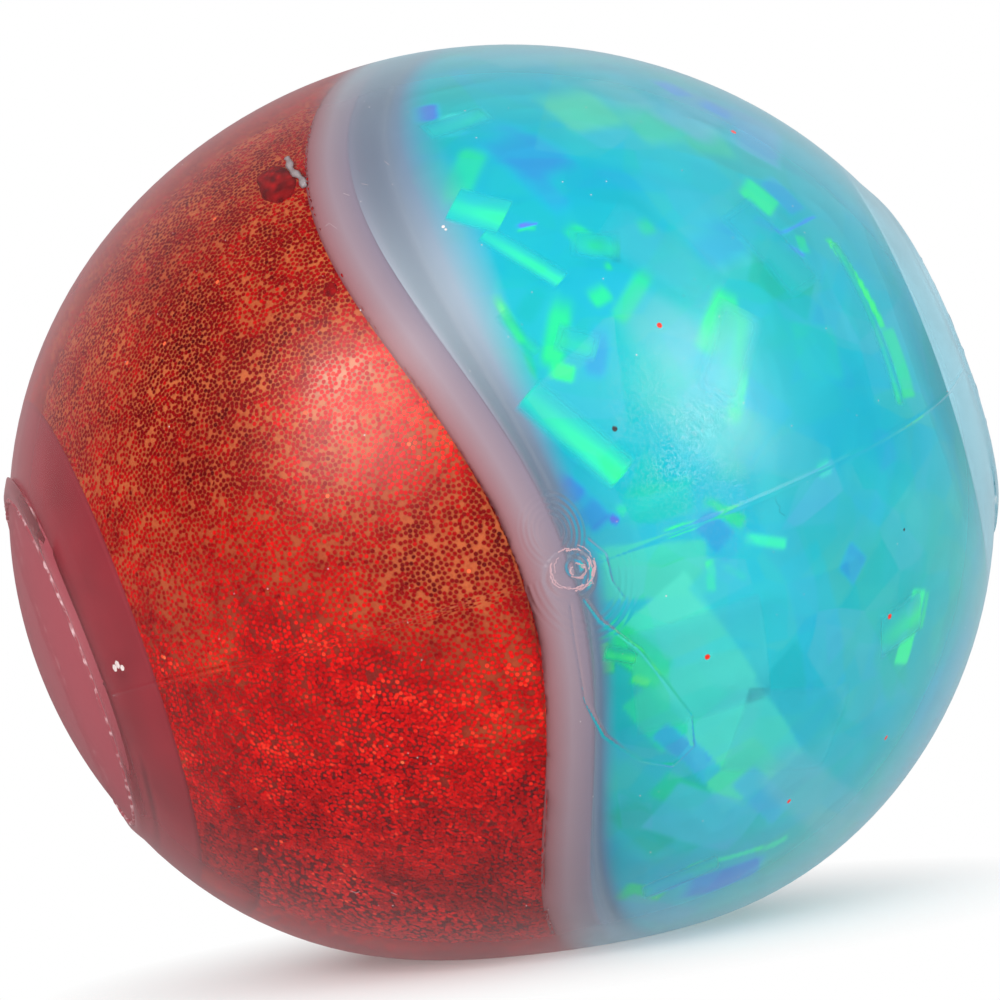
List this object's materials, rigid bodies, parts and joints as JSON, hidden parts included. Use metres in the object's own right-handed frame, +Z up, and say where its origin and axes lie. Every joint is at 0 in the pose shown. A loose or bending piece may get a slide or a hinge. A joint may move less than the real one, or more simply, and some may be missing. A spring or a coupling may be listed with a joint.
{
  "type": "sensory ball",
  "caption": "Soft clear squeeze ball, parted by a wavy wall into a chamber of red glitter and one of iridescent film strips, each in liquid.",
  "frame": {"origin": "the middle of the flat foot that the ball rests on, under the ball's middle", "axes": "+Z up, square to the surface it rests on; -Y towards the side that shows both chambers with the wavy wall between them; +X towards the film chamber"},
  "size_m": [0.1022, 0.102, 0.0929],
  "materials": {
    "clear_rubber": "satin moulded, clear",
    "plug_rubber": "satin moulded, clear",
    "glue": "satin, wrinkled",
    "red_liquid": "gloss",
    "clear_liquid": "gloss",
    "glitter": "glitter",
    "film_cyan": "iridescent",
    "film_green": "iridescent",
    "film_blue": "iridescent",
    "film_teal": "iridescent",
    "film_violet": "iridescent"
  },
  "bodies": {
    "ball": {"ball_body": "clear_rubber", "red_end_plug": "plug_rubber", "film_end_plug": "plug_rubber", "red_plug_glue": "glue", "film_plug_glue": "glue", "red_liquid": "red_liquid", "clear_liquid": "clear_liquid"},
    "glitter": {"glitter_bed": "glitter"},
    "film_bundle": {"film_strip_01": "film_cyan", "film_strip_02": "film_green", "film_strip_03": "film_blue", "film_strip_04": "film_teal", "film_strip_05": "film_violet", "film_strip_06": "film_cyan", "film_strip_07": "film_green", "film_strip_08": "film_blue", "film_strip_09": "film_teal", "film_strip_10": "film_violet", "film_strip_11": "film_cyan", "film_strip_12": "film_green", "film_strip_13": "film_blue", "film_strip_14": "film_teal", "film_strip_15": "film_violet", "film_strip_16": "film_cyan", "film_strip_17": "film_green", "film_strip_18": "film_blue", "film_strip_19": "film_teal", "film_strip_20": "film_violet", "film_strip_21": "film_cyan", "film_strip_22": "film_green"}
  },
  "joints": [
    {"name": "glitter_slide", "type": "hinge", "parent": "ball", "child": "glitter", "pos_m": [0, 0, 0.045], "axis": [0.9662, 0.16, 0.2019], "range_deg": [-20, 20]},
    {"name": "film_swirl", "type": "hinge", "parent": "ball", "child": "film_bundle", "pos_m": [0, 0, 0.045], "axis": [0.9662, 0.16, 0.2019], "range_deg": [-15, 15]}
  ]
}
